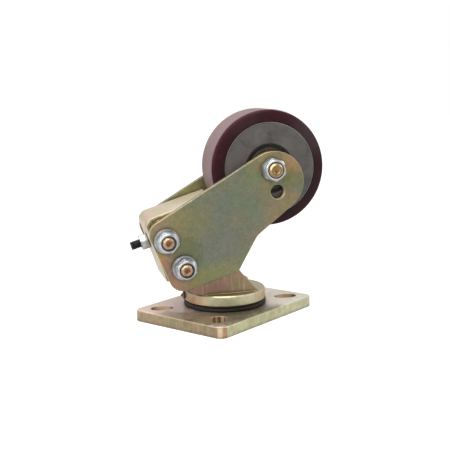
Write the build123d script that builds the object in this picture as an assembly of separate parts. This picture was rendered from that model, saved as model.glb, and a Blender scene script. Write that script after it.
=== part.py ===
from build123d import *
from math import sin, cos, tan, radians, degrees, atan2, hypot, sqrt, pi
import os

# Sprung swivel plate castor, standing on its mounting plate. Millimetres.
# Origin: centre of the plate's mounting face, on the swivel axis. +Z runs from plate to wheel,
# X along the plate's long side. The swivel head is drawn in the "arm frame", its arms parallel
# to XZ and its bolts along Y, and is then turned about Z by HEAD_TURN.
# The spring housing has a frame of its own, (along, up), tilted in XZ about the pivot bolt.

# ---- shared dimensions ----
HEAD_TURN = -37.5                # swivel angle at rest, degrees
CLEAR = 0.05                     # running clearance, radial
FIT = 0.02                       # close fit, radial
SIDES = (-1, 1)                  # near side is -Y, far side is +Y

# Mounting plate
PLATE_L, PLATE_W, PLATE_T = 130.0, 101.0, 10.0
PLATE_CORNER_R = 7.0
PLATE_CHAMFER = 0.8
BOSS_R, BOSS_TOP = 32.6, 11.4    # low boss that carries the lower ball track
SLOT_X, SLOT_Y = 47.5, 32.0      # slot centres
SLOT_W, SLOT_LEN = 13.0, 20.0
SLOT_TURN = 40.0                 # slots run out towards the corners

# Swivel bearing: lower and upper ball rows around the king bolt
LOWER_R, LOWER_BALL, LOWER_Z, LOWER_COUNT = 28.5, 6.35, 12.5, 26
UPPER_R, UPPER_BALL, UPPER_Z, UPPER_COUNT = 16.5, 5.0, 26.0, 18
KING_R, KING_TOP = 8.0, 44.0
KING_HEAD_R, KING_HEAD_Z0, KING_HEAD_Z1 = 14.9, 0.6, 4.6
KING_NUT_Z, KING_NUT_H, KING_NUT_FLATS = 31.5, 10.0, 24.0
UPPER_RING_R = 21.0
DISC_R, DISC_Z0, DISC_Z1 = 36.1, 14.8, 23.9
DISC_BORE_R = KING_R + 0.6
NIPPLE_Z = 19.4
SEAL_R, SEAL_IN_R, SEAL_Z0 = 36.6, 33.5, 10.15

# Bolt places in the arm frame
PIVOT_X, PIVOT_Z = -41.4, 51.1
THRUST_X, THRUST_Z = -55.8, 74.7
AXLE_X, AXLE_Z = 36.4, 130.4
SPARE_X, SPARE_Z = 41.1, 110.8   # second axle hole
SWING = 14.0                     # rocker travel at full compression, degrees

# Spring housing, faces given in the tilted frame
CHEEK_OUT, CHEEK_T = 26.0, 5.0
CHEEK_IN = CHEEK_OUT - CHEEK_T
BOX_TILT = 16.7
BOX_LEFT, BOX_RIGHT, BOX_TOP = -18.8, 44.0, 48.0
BOX_WEB = 4.0
BEND_R = 8.0                     # outer radius of the cover's bend
COVER_EDGE_R = 2.6               # rounding of the cover's long outer edges
WEB_LEAN, WEB_END = 1.6, -8.5    # the back web leans in by WEB_LEAN down to its lower end
END_PLATE_LOW = 7.2

# Spring and adjuster, on an axis SPRING_UP above the pivot in the tilted frame
SPRING_UP = 26.0
SPRING_OD, SPRING_WIRE, SPRING_TURNS = 32.0, 5.0, 5.0
STUD_R = 10.2                    # studs inside the spring's ends
SEAT_R, SEAT_T = 16.4, 5.0
THRUST_ALONG = -7.0              # thrust bolt's place along the spring axis
SCREW_R, SCREW_OUT, SCREW_TIP = 4.0, -34.4, -13.6
SOCKET_FLATS = 4.0
JAM_NUT_FLATS = 13.0

# Bushes and sleeves
BUSH_R, BUSH_FLANGE_R = 9.0, 12.0
PIVOT_SLEEVE_R, THRUST_SLEEVE_R, AXLE_SLEEVE_R = 7.0, 6.5, 8.5
M10_HOLE_R, M12_HOLE_R = 5.1, 6.15

# Rocker arms
ARM_IN, ARM_T = 27.0, 6.0
ARM_OUT = ARM_IN + ARM_T
WASHER_T = 2.5

# Wheel and its bearings
WHEEL_R, TREAD_HALF, HUB_R, HUB_HALF = 50.0, 20.4, 39.3, 26.0
BEARING_Y0, BEARING_Y1 = 13.0, 25.0      # width span of a bearing on each side
BEARING_R, HUB_BORE_R = 20.0, 16.0
BEARING_BORE_R = AXLE_SLEEVE_R + FIT
BALL_R, PITCH_R, BALL_COUNT = 3.37, 14.35, 8

os.makedirs("parts", exist_ok=True)


# ================= helpers =================
def polar(x, z, radius, angle):
    """The point at an angle in degrees and a radius from (x, z)."""
    return (x + radius * cos(radians(angle)), z + radius * sin(radians(angle)))


def box(along, up):
    """Arm-frame (x, z) of a point of the tilted housing frame."""
    tilt = radians(BOX_TILT)
    return (PIVOT_X + along * cos(tilt) - up * sin(tilt),
            PIVOT_Z + along * sin(tilt) + up * cos(tilt))


def on_spring_axis(along):
    """Location on the spring axis with local Z along it."""
    x, z = box(along, SPRING_UP)
    return Pos(x, 0, z) * Rot(0, 90 - BOX_TILT, 0)


def cyl_y(x, z, radius, y0, y1):
    return Pos(x, (y0 + y1) / 2, z) * Rot(90, 0, 0) * Cylinder(radius, abs(y1 - y0))


def tube_y(x, z, radius, bore, y0, y1):
    low, high = min(y0, y1), max(y0, y1)
    return cyl_y(x, z, radius, low, high) - cyl_y(x, z, bore, low - 1, high + 1)


def cyl_z(radius, z0, z1):
    return Pos(0, 0, (z0 + z1) / 2) * Cylinder(radius, z1 - z0)


def cyl_spring(start, end, radius):
    """Cylinder on the spring axis."""
    return on_spring_axis((start + end) / 2) * Cylinder(radius, abs(end - start))


def vec(point):
    return Vector(point[0], 0, point[1])


def xz_face(points):
    return Face(Wire.make_polygon([vec(p) for p in points], close=True))


def extrude_y(face, y0, y1):
    """Plate between y0 and y1 from a face drawn at y = 0."""
    return Solid.extrude(face.moved(Location((0, y0, 0))), Vector(0, y1 - y0, 0))


def slab(points, y0, y1):
    return extrude_y(xz_face(points), y0, y1)


def revolve_y(points, x, z):
    """Solid of revolution about the Y line through (x, z); points are (radius, y)."""
    outline = Wire.make_polygon([Vector(x + r, y, z) for r, y in points], close=True)
    return Solid.revolve(Face(outline), 360, Axis((x, 0, z), (0, 1, 0)))


def revolve_z(points):
    """Solid of revolution about Z; points are (radius, z)."""
    return Solid.revolve(xz_face(points), 360, Axis((0, 0, 0), (0, 0, 1)))


def mirrored(half):
    """A (radius, y) profile completed by its mirror image in y = 0."""
    return half + [(r, -y) for r, y in reversed(half)]


def hexagon_y(x, z, flats, y0, y1, turn, both_ends=False):
    """Hexagon bar along Y, its corners turned down at 30 degrees at y1 or at both ends."""
    corner_r = flats / sqrt(3)
    bar = slab([polar(x, z, corner_r, turn + 60 * i) for i in range(6)], y0, y1)
    face_r = flats / 2 * 0.98
    drop = (corner_r - face_r) * tan(radians(30)) * (1 if y1 > y0 else -1)
    rim_r = corner_r + 0.01
    start = [(face_r, y0), (rim_r, y0 + drop)] if both_ends else [(rim_r, y0)]
    blank = revolve_y([(0, y0)] + start + [(rim_r, y1 - drop), (face_r, y1), (0, y1)], x, z)
    return bar & blank


def hexagon_spring(start, end, flats):
    """Hexagon bar on the spring axis, corners turned down at both ends."""
    corner_r = flats / sqrt(3)
    half = abs(end - start) / 2
    face_r = flats / 2 * 0.97
    drop = (corner_r - face_r) * tan(radians(30))
    rim_r = corner_r + 0.01
    blank = revolve_z([(face_r, -half), (rim_r, -half + drop), (rim_r, half - drop),
                       (face_r, half), (0, half), (0, -half)])
    bar = Pos(0, 0, -half) * extrude(RegularPolygon(corner_r, 6), 2 * half)
    return on_spring_axis((start + end) / 2) * (bar & blank)


def save(name, shapes, turn=HEAD_TURN):
    """Write one STEP file holding the solids, turned about Z."""
    if not isinstance(shapes, (list, tuple)):
        shapes = [shapes]
    solids = [solid for shape in shapes for solid in shape.solids()]
    if turn:
        solids = [Rot(0, 0, turn) * solid for solid in solids]
    result = solids[0] if len(solids) == 1 else Compound(children=solids)
    export_step(result, f"parts/{name}.step")


# ================= base, not turned with the head =================
def lower_track():
    return Pos(0, 0, LOWER_Z) * Torus(LOWER_R, LOWER_BALL / 2 + CLEAR)


def upper_track():
    return Pos(0, 0, UPPER_Z) * Torus(UPPER_R, UPPER_BALL / 2 + CLEAR)


def mounting_plate():
    plate = extrude(RectangleRounded(PLATE_L, PLATE_W, PLATE_CORNER_R), PLATE_T).solids()[0]
    plate = chamfer(plate.edges().group_by(Axis.Z)[-1], PLATE_CHAMFER)
    plate = plate + cyl_z(BOSS_R, PLATE_T - 1, BOSS_TOP)
    for side_x in SIDES:
        for side_y in SIDES:
            place = Pos(side_x * SLOT_X, side_y * SLOT_Y, PLATE_T / 2)
            slot = extrude(SlotOverall(SLOT_LEN, SLOT_W), 12, both=True)
            plate = plate - place * Rot(0, 0, SLOT_TURN * side_x * side_y) * slot
    plate = plate - lower_track()
    plate = plate - cyl_z(KING_R + FIT, -1, 20)
    return plate - cyl_z(KING_HEAD_R + 0.1, -1, KING_HEAD_Z1)


def king_bolt():
    """Bolt on the swivel axis, its head let into the underside of the plate."""
    king = cyl_z(KING_HEAD_R, KING_HEAD_Z0, KING_HEAD_Z1) + cyl_z(KING_R, 4.0, KING_TOP)
    return chamfer(king.edges().group_by(Axis.Z)[-1], 1.2)


def upper_race_ring():
    """Race ring held down by the king nut."""
    z0 = UPPER_Z + 0.9
    ring = cyl_z(UPPER_RING_R, z0, KING_NUT_Z) - cyl_z(KING_R + FIT, z0 - 1, KING_NUT_Z + 1)
    return ring - upper_track()


def king_nut():
    corner_r = KING_NUT_FLATS / sqrt(3)
    top = KING_NUT_Z + KING_NUT_H
    bar = Pos(0, 0, KING_NUT_Z) * extrude(RegularPolygon(corner_r, 6), KING_NUT_H)
    tube = cyl_z(13.9, KING_NUT_Z, top).solids()[0] - cyl_z(KING_R + FIT, 30, 50)
    # cone that turns down the upper corners
    blank = revolve_z([(0, KING_NUT_Z), (corner_r + 0.1, KING_NUT_Z), (corner_r + 0.1, top - 1.1),
                       (11.8, top), (0, top)])
    return (bar & tube) & blank


def ball_row(row_r, ball, z, count):
    places = [polar(0, 0, row_r, 360 * i / count) for i in range(count)]
    return [Pos(x, y, z) * Sphere(ball / 2) for x, y in places]


save("mounting_plate", mounting_plate(), turn=0)
save("king_bolt", king_bolt(), turn=0)
save("upper_race_ring", upper_race_ring(), turn=0)
save("king_nut", king_nut(), turn=0)
save("lower_race_balls", ball_row(LOWER_R, LOWER_BALL, LOWER_Z, LOWER_COUNT), turn=0)
save("upper_race_balls", ball_row(UPPER_R, UPPER_BALL, UPPER_Z, UPPER_COUNT), turn=0)

# ================= swivel disc =================
DISC_PROFILE = [  # radius, z
    (DISC_BORE_R, 15.6), (22.5, 15.6), (22.5, 13.6), (33.2, 13.6), (33.2, DISC_Z0),
    (DISC_R - 0.5, DISC_Z0), (DISC_R, DISC_Z0 + 0.5), (DISC_R, DISC_Z1 - 1.0),
    (DISC_R - 1.0, DISC_Z1), (UPPER_RING_R, DISC_Z1), (UPPER_RING_R, 25.2), (DISC_BORE_R, 25.2),
]
SEAL_PROFILE = [  # radius, z
    (SEAL_IN_R, 11.7), (34.6, SEAL_Z0), (SEAL_R, SEAL_Z0), (SEAL_R, 12.0), (SEAL_R - 0.9, 12.4),
    (SEAL_R - 0.9, 13.0), (SEAL_R, 13.4), (SEAL_R, DISC_Z0), (SEAL_IN_R, DISC_Z0),
]


def swivel_disc():
    disc = revolve_z(DISC_PROFILE) - lower_track()
    disc = disc - upper_track()
    # hole for the grease nipple's thread
    return disc - Pos(-DISC_R + 2.5, 0, NIPPLE_Z) * Rot(0, 90, 0) * Cylinder(2.5, 9)


def grease_nipple():
    """Nipple pointing along -X: thread, hexagon, cone and round tip."""
    nipple = Pos(0, 0, -2.7) * Cylinder(2.45, 6.0)
    nipple = nipple + Pos(0, 0, 0.8) * extrude(RegularPolygon(3.3, 6), 0.8, both=True)
    nipple = nipple + Pos(0, 0, 1.9) * Cone(2.0, 1.5, 1.0)
    nipple = nipple + Pos(0, 0, 2.3) * Sphere(1.4)
    return Pos(-DISC_R - 0.1, 0, NIPPLE_Z) * Rot(0, -90, 0) * nipple


save("swivel_disc", swivel_disc())
save("grease_nipple", grease_nipple())
save("swivel_seal", revolve_z(SEAL_PROFILE))

# ================= spring housing =================
WEB_IN, TOP_IN = BOX_LEFT + BOX_WEB, BOX_TOP - BOX_WEB       # inner faces of the webs
BEND_ALONG, BEND_UP = BOX_LEFT + BEND_R, BOX_TOP - BEND_R    # centre of the bend

CHEEK_OUTLINE = [  # arm-frame x, z
    (-25.0, DISC_Z1), (24.5, DISC_Z1), (6.0, 46.1), box(BOX_RIGHT, TOP_IN), box(WEB_IN, TOP_IN),
    box(WEB_IN, BOX_TOP - 8.0), box(WEB_IN + WEB_LEAN, WEB_END), (-33.5, 26.5),
]


def thrust_slot(y0, y1):
    """Curved slot around the pivot for the thrust sleeve's swing."""
    reach = hypot(THRUST_X - PIVOT_X, THRUST_Z - PIVOT_Z)
    rest = degrees(atan2(THRUST_Z - PIVOT_Z, THRUST_X - PIVOT_X))
    half_w = THRUST_SLEEVE_R + 0.2
    first, last = rest + 0.8, rest - SWING - 0.8
    steps = 24
    angles = [first + (last - first) * i / steps for i in range(steps + 1)]
    points = [polar(PIVOT_X, PIVOT_Z, reach + half_w, a) for a in angles]
    points += [polar(PIVOT_X, PIVOT_Z, reach - half_w, a) for a in reversed(angles)]
    slot = slab(points, y0, y1)
    for angle in (first, last):
        slot = slot + cyl_y(*polar(PIVOT_X, PIVOT_Z, reach, angle), half_w, y0, y1)
    return slot


def cheek(side):
    """Flat plate standing on the disc."""
    y0, y1 = CHEEK_IN * side, CHEEK_OUT * side
    plate = slab(CHEEK_OUTLINE, y0, y1)
    plate = plate - cyl_y(PIVOT_X, PIVOT_Z, BUSH_R, y0 - side, y1 + side)
    return plate - thrust_slot(y0 - side, y1 + side)


def cover_strip():
    """Back web and top web as one bent strip over both cheeks, edges still square."""
    def line(start, end):
        return Edge.make_line(vec(box(*start)), vec(box(*end)))

    def arc(start, radius, end):
        reach = radius * sqrt(0.5)
        middle = (BEND_ALONG - reach, BEND_UP + reach)
        return Edge.make_three_point_arc(*[vec(box(*p)) for p in (start, middle, end)])

    outer = [(BOX_LEFT + WEB_LEAN, WEB_END), (BOX_LEFT, BEND_UP),
             (BEND_ALONG, BOX_TOP), (BOX_RIGHT, BOX_TOP)]
    inner = [(BOX_RIGHT, TOP_IN), (BEND_ALONG, TOP_IN),
             (WEB_IN, BEND_UP), (WEB_IN + WEB_LEAN, WEB_END)]
    edges = [
        line(outer[0], outer[1]), arc(outer[1], BEND_R, outer[2]), line(outer[2], outer[3]),
        line(outer[3], inner[0]),
        line(inner[0], inner[1]), arc(inner[1], BEND_R - BOX_WEB, inner[2]),
        line(inner[2], inner[3]),
        line(inner[3], outer[0]),
    ]
    return extrude_y(Face(Wire(edges)), -CHEEK_OUT, CHEEK_OUT)


def on_outer_skin(point):
    """True on the strip's outer skin: top line, leaning back line or bend."""
    tilt = radians(BOX_TILT)
    dx, dz = point.X - PIVOT_X, point.Z - PIVOT_Z
    along = dx * cos(tilt) + dz * sin(tilt)
    up = -dx * sin(tilt) + dz * cos(tilt)
    lean = WEB_LEAN * (BEND_UP - up) / (BEND_UP - WEB_END) if up < BEND_UP else 0.0
    on_top = abs(up - BOX_TOP) < 0.02
    on_back = abs(along - BOX_LEFT - lean) < 0.02 and up < BEND_UP + 0.1
    off_bend = abs(hypot(along - BEND_ALONG, up - BEND_UP) - BEND_R)
    return on_top or on_back or (off_bend < 0.02 and along < BEND_ALONG and up > BEND_UP)


def is_long_outer_edge(edge):
    middle = edge.position_at(0.5)
    return (abs(abs(edge.center().Y) - CHEEK_OUT) < 0.01
            and abs(middle.Y - edge.position_at(0).Y) < 0.01
            and on_outer_skin(middle))


def housing_cover(strip):
    cover = strip.fillet(COVER_EDGE_R, [e for e in strip.edges() if is_long_outer_edge(e)])
    # hole for the adjusting screw
    return cover - cyl_spring(BOX_LEFT - 2, WEB_IN + 2, SCREW_R + CLEAR)


def housing_end_plate():
    """The spring's fixed end between the cheeks, with a locating stud."""
    inner = BOX_RIGHT - BOX_WEB
    outline = [box(inner, END_PLATE_LOW), box(BOX_RIGHT, END_PLATE_LOW),
               box(BOX_RIGHT, TOP_IN), box(inner, TOP_IN)]
    return slab(outline, -CHEEK_IN, CHEEK_IN) + cyl_spring(BOX_RIGHT - 10, inner + 0.5, STUD_R)


def pivot_bush(side):
    """Bush through a cheek with a flange between cheek and arm."""
    bore = PIVOT_SLEEVE_R + CLEAR
    barrel = tube_y(PIVOT_X, PIVOT_Z, BUSH_R, bore, CHEEK_IN * side, CHEEK_OUT * side)
    return barrel + tube_y(PIVOT_X, PIVOT_Z, BUSH_FLANGE_R, bore,
                           CHEEK_OUT * side, (ARM_IN - 0.06) * side)


strip = cover_strip()
save("housing_cover", housing_cover(strip))
# cutting by the strip makes the cheeks' upper corners follow the inside of the bend
save("near_cheek", cheek(-1) - strip)
save("far_cheek", cheek(1) - strip)
save("housing_end_plate", housing_end_plate())
save("pivot_bushes", [pivot_bush(side) for side in SIDES])

# ================= spring and adjuster =================
SEAT_START = THRUST_ALONG + THRUST_SLEEVE_R + 0.1
SEAT_END = SEAT_START + SEAT_T


def jam_nut():
    # the leaning web lets the nut reach a little past BOX_LEFT
    body = hexagon_spring(BOX_LEFT - 7.0, BOX_LEFT + 0.18, JAM_NUT_FLATS)
    return body - cyl_spring(BOX_LEFT - 9, BOX_LEFT + 1, SCREW_R + CLEAR)


def adjusting_screw():
    """Screw with a hexagon socket in its outer end."""
    screw = cyl_spring(SCREW_OUT, SCREW_TIP, SCREW_R)
    socket = extrude(RegularPolygon(SOCKET_FLATS / sqrt(3), 6), 4.5)
    screw = screw - on_spring_axis(SCREW_OUT + 2) * Pos(0, 0, -2.5) * socket
    return chamfer(screw.edges().filter_by(GeomType.CIRCLE), 0.7)


def spring_seat():
    disc = cyl_spring(SEAT_START, SEAT_END, SEAT_R)
    return disc + cyl_spring(SEAT_END - 0.5, SEAT_END + 5.5, STUD_R)


def spring():
    start, end = SEAT_END + 0.05, BOX_RIGHT - BOX_WEB - 0.05
    wire_r = SPRING_WIRE / 2
    coil_r = SPRING_OD / 2 - wire_r
    height = end - start - SPRING_WIRE
    pitch = height / SPRING_TURNS
    helix = Wire([Edge.make_helix(pitch=pitch, height=height, radius=coil_r)])
    section = Wire.make_circle(wire_r, Plane(origin=(coil_r, 0, 0), x_dir=(1, 0, 0),
                                             z_dir=(0, 1, pitch / (2 * pi * coil_r))))
    coil = Solid.sweep(Face(section), helix, is_frenet=True)
    return on_spring_axis(start + wire_r) * coil


save("jam_nut", jam_nut())
save("adjusting_screw", adjusting_screw())
save("spring_seat", spring_seat())
save("spring", spring())

# ================= rocker arms =================
ARM_ARC_X, ARM_ARC_Z, ARM_ARC_R = 38.5, 119.5, 26.0    # arc around the axle end
ARM_ARC_ANGLES = (120, 30, -51)                        # its start, middle and end
ARM_CORNERS = {  # arm-frame x, z
    "kink": (22.6, 74.1),
    "low right": (5.6, 44.7),
    "low left": (-49.7, 28.2),
    "top left": (-72.7, 84.9),
}
ARM_FILLETS = [("top left", 11.0), ("low left", 12.0), ("low right", 2.0), ("kink", 14.0)]
ARM_HOLES = [  # x, z, radius
    (AXLE_X, AXLE_Z, M12_HOLE_R),
    (SPARE_X, SPARE_Z, M12_HOLE_R),
    (PIVOT_X, PIVOT_Z, M10_HOLE_R),
    (THRUST_X, THRUST_Z, M10_HOLE_R),
]


def arm(side):
    arc = [vec(polar(ARM_ARC_X, ARM_ARC_Z, ARM_ARC_R, a)) for a in ARM_ARC_ANGLES]
    corners = [vec(p) for p in ARM_CORNERS.values()]
    stops = [arc[2]] + corners
    edges = [Edge.make_line(corners[-1], arc[0]), Edge.make_three_point_arc(*arc)]
    edges += [Edge.make_line(start, end) for start, end in zip(stops, stops[1:])]
    plate = extrude_y(Face(Wire(edges)), ARM_IN * side, ARM_OUT * side)
    for corner, radius in ARM_FILLETS:
        x, z = ARM_CORNERS[corner]
        # the short edge across the plate's thickness at this corner
        across = [e for e in plate.edges() if e.geom_type == GeomType.LINE and e.length < 7
                  and abs(e.center().X - x) < 0.3 and abs(e.center().Z - z) < 0.3]
        plate = plate.fillet(radius, across)
    for x, z, radius in ARM_HOLES:
        plate = plate - cyl_y(x, z, radius, (ARM_IN - 1) * side, (ARM_OUT + 1) * side)
    return plate


save("near_arm", arm(-1))
save("far_arm", arm(1))

# ================= bolts, nuts and sleeves =================
# Heads are on the +Y side, nuts on the -Y side.
FASTENERS = [
    # name, x, z, shank radius, across flats, washer, head height, head turn,
    # tip y, tip chamfer, nut height, nut turn
    ("pivot", PIVOT_X, PIVOT_Z, 5.0, 17.0, WASHER_T, 6.4, 10, -47.0, 1.1, 7.6, 12),
    ("thrust", THRUST_X, THRUST_Z, 5.0, 17.0, WASHER_T, 6.4, 25, -47.0, 1.1, 7.6, 20),
    ("axle", AXLE_X, AXLE_Z, 6.0, 18.0, 0.0, 7.5, 5, -47.2, 1.4, 9.4, -10),
]
RING_WALL = 1.7      # radial wall of the nylon ring outside the shank


def bolt(x, z, radius, flats, seat, head_h, turn, tip, tip_chamfer):
    head = hexagon_y(x, z, flats, seat, seat + head_h, turn)
    shank = cyl_y(x, z, radius, seat + 1, tip)
    tip_edges = [e for e in shank.edges() if abs(e.center().Y - tip) < 1e-3]
    return head + shank.solids()[0].chamfer(tip_chamfer, None, tip_edges)


def lock_nut(x, z, radius, flats, seat, height, turn):
    """Hexagon with a turned collar towards the bolt's tip, bored for the nylon ring."""
    end = seat - height
    body = hexagon_y(x, z, flats, seat, end, turn, both_ends=True)
    collar = revolve_y([(0, end + 0.6), (flats / 2 - 0.2, end + 0.6), (flats / 2 - 0.35, end - 1.6),
                        (flats / 2 - 1.9, end - 2.9), (0, end - 2.9)], x, z)
    nut = body + collar
    nut = nut - cyl_y(x, z, radius + CLEAR, seat + 1, end - 5)
    return nut - cyl_y(x, z, radius + RING_WALL, end - 0.6, end - 5)


nylon_rings = []
for (name, x, z, radius, flats, washer, head_h, head_turn,
     tip, tip_chamfer, nut_h, nut_turn) in FASTENERS:
    seat = ARM_OUT + washer
    save(f"{name}_bolt", bolt(x, z, radius, flats, seat, head_h, head_turn, tip, tip_chamfer))
    save(f"{name}_nut", lock_nut(x, z, radius, flats, -seat, nut_h, nut_turn))
    nut_end = -seat - nut_h
    nylon_rings.append(tube_y(x, z, radius + RING_WALL, radius + CLEAR,
                              nut_end - 0.6, nut_end - 2.5))
save("nut_nylon_rings", nylon_rings)

save("bolt_washers", [
    tube_y(x, z, 10.5, 5.25, ARM_OUT * side, (ARM_OUT + WASHER_T) * side)
    for x, z in ((PIVOT_X, PIVOT_Z), (THRUST_X, THRUST_Z)) for side in SIDES
])

for name, x, z, radius, bore in (
    ("pivot", PIVOT_X, PIVOT_Z, PIVOT_SLEEVE_R, M10_HOLE_R),
    ("thrust", THRUST_X, THRUST_Z, THRUST_SLEEVE_R, M10_HOLE_R),
    ("axle", AXLE_X, AXLE_Z, AXLE_SLEEVE_R, M12_HOLE_R),
):
    save(f"{name}_sleeve", tube_y(x, z, radius, bore, -ARM_IN, ARM_IN))


# ================= wheel bearings =================
def axle_tube(radius, bore, y0, y1):
    return tube_y(AXLE_X, AXLE_Z, radius, bore, y0, y1)


def dust_shield(side):
    collar = axle_tube(11.5, BEARING_BORE_R, BEARING_Y1 * side, ARM_IN * side)
    return collar + axle_tube(17.8, BEARING_BORE_R, 25.4 * side, 26.5 * side)


save("bearing_spacer", axle_tube(11.0, BEARING_BORE_R, -BEARING_Y0, BEARING_Y0))
save("dust_shields", [dust_shield(side) for side in SIDES])

inner_rings, outer_rings, cages, balls = [], [], [], []
for side in SIDES:
    y0, y1 = BEARING_Y0 * side, BEARING_Y1 * side
    y = (y0 + y1) / 2
    groove = Pos(AXLE_X, y, AXLE_Z) * Rot(90, 0, 0) * Torus(PITCH_R, BALL_R + 0.03)
    inner_rings.append(axle_tube(12.3, BEARING_BORE_R, y0, y1) - groove)
    outer_rings.append(axle_tube(BEARING_R, 16.5, y0, y1) - groove)
    cage = axle_tube(15.3, 13.4, y - 4.4, y + 4.4)
    for i in range(BALL_COUNT):
        angle = 360 / BALL_COUNT * i
        x, z = polar(AXLE_X, AXLE_Z, PITCH_R, angle)
        balls.append(Pos(x, y, z) * Sphere(BALL_R))
        cage = cage - Pos(x, y, z) * Rot(0, 90 - angle, 0) * Cylinder(BALL_R + 0.12, 5.0)
    cages.append(cage)
save("bearing_inner_rings", inner_rings)
save("bearing_outer_rings", outer_rings)
save("bearing_cages", cages)
save("bearing_balls", balls)

# ================= wheel =================
HUB_HALF_PROFILE = [  # radius, y
    (HUB_BORE_R, -BEARING_Y0), (BEARING_R, -BEARING_Y0), (BEARING_R, -HUB_HALF + 0.4),
    (BEARING_R + 0.4, -HUB_HALF), (HUB_R - 0.5, -HUB_HALF), (HUB_R, -HUB_HALF + 0.5),
]
TYRE_HALF_PROFILE = [  # radius, y
    (HUB_R, -HUB_HALF + 0.5), (HUB_R + 0.6, -HUB_HALF + 0.5), (WHEEL_R - 2.2, -TREAD_HALF - 0.9),
    (WHEEL_R - 0.7, -TREAD_HALF + 0.2), (WHEEL_R, -TREAD_HALF + 2.2),
]
save("wheel_hub", revolve_y(mirrored(HUB_HALF_PROFILE), AXLE_X, AXLE_Z))
save("tyre", revolve_y(mirrored(TYRE_HALF_PROFILE), AXLE_X, AXLE_Z))
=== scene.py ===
"""A sprung swivel castor, standing on its mounting plate with the wheel up.

The row frame is the world: Z up, floor just under the plate. The arm frame is the row frame
turned about Z: its X runs along the swing arms towards the wheel and its Y along the bolts,
with the near side (nuts, camera) at -Y. The housing between the arms has a tilted frame of its
own, with x' along it and z' across it from the pivot.
Sizes are in mm and stored in metres; numbers inside materials are in metres.
"""
import bpy, bmesh, math
from mathutils import Vector, Matrix


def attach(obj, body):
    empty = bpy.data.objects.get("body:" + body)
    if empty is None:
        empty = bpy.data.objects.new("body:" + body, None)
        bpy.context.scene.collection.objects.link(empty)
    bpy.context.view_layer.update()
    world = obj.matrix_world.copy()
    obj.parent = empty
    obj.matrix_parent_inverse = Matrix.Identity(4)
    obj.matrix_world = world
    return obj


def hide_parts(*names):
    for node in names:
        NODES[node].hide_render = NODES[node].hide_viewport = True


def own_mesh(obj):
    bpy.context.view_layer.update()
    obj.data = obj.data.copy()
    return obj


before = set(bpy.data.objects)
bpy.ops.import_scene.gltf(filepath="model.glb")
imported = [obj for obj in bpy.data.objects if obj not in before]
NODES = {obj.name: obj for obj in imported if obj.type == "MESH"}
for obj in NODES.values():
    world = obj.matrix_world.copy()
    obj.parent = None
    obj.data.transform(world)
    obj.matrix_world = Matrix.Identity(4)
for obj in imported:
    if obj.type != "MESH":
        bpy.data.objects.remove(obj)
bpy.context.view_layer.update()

MM = 0.001
ARM_TURN = math.radians(37.5)
TURN = Matrix.Rotation(-ARM_TURN, 4, 'Z')       # arm frame to row frame

# bolt places (x, z) in the arm frame
PIVOT = (-41.4, 51.1)
THRUST = (-55.8, 74.7)
AXLE = (36.4, 130.4)
TILT = math.radians(16.7)                       # housing's x' above the arm frame's X
SCREW_LINE = 26.0                               # z' of the adjusting screw and spring
ARM_FACE = 33.0                                 # outer faces of the arms, +-Y
WASHER = 2.5                                    # thickness


def box_pt(along, across):
    """Arm-frame (x, z) of a point in the housing's frame."""
    return (PIVOT[0] + along * math.cos(TILT) - across * math.sin(TILT),
            PIVOT[1] + along * math.sin(TILT) + across * math.cos(TILT))


def axis_y(x, z, y=0.0, flip=False):
    """Local +Z to the arm frame's Y (towards -Y when flip) at (x, z), in the row frame."""
    quarter = Matrix.Rotation(math.radians(90 if flip else -90), 4, 'X')
    return TURN @ Matrix.Translation((x, y, z)) @ quarter


def axis_box(along, flip=False):
    """Local +Z along the screw line's x' direction (or against it when flip)."""
    x, z = box_pt(along, SCREW_LINE)
    lean = Matrix.Rotation(math.radians(90) - TILT, 4, 'Y')
    if flip:
        lean = lean @ Matrix.Rotation(math.pi, 4, 'X')
    return TURN @ Matrix.Translation((x, 0, z)) @ lean


# ------------------------------------------------------------------ meshes
def new_object(name, data):
    ob = bpy.data.objects.new(name, data)
    bpy.context.scene.collection.objects.link(ob)
    return ob


def make_mesh(name, verts, faces, matrix, angle):
    """Smooth mesh with edges above angle (degrees) marked sharp; matrix leads to the row frame."""
    mesh = bpy.data.meshes.new(name)
    mesh.from_pydata([[c * MM for c in matrix @ Vector(v)] for v in verts], [], faces)
    mesh.update()
    bm = bmesh.new()
    bm.from_mesh(mesh)
    bmesh.ops.remove_doubles(bm, verts=bm.verts, dist=1e-7)
    bmesh.ops.recalc_face_normals(bm, faces=bm.faces)
    for f in bm.faces:
        f.smooth = True
    for e in bm.edges:
        if len(e.link_faces) == 2 and e.calc_face_angle(0.0) > math.radians(angle):
            e.smooth = False
    bm.to_mesh(mesh)
    bm.free()
    return new_object(name, mesh)


def round_angles(segs):
    return [2 * math.pi * i / segs for i in range(segs)]


def ring(angles, radius, height):
    """Points round local Z; radius and height are numbers, or lists with one value per angle."""
    radii = radius if isinstance(radius, list) else [radius] * len(angles)
    heights = height if isinstance(height, list) else [height] * len(angles)
    return [(r * math.cos(a), r * math.sin(a), z) for a, r, z in zip(angles, radii, heights)]


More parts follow.
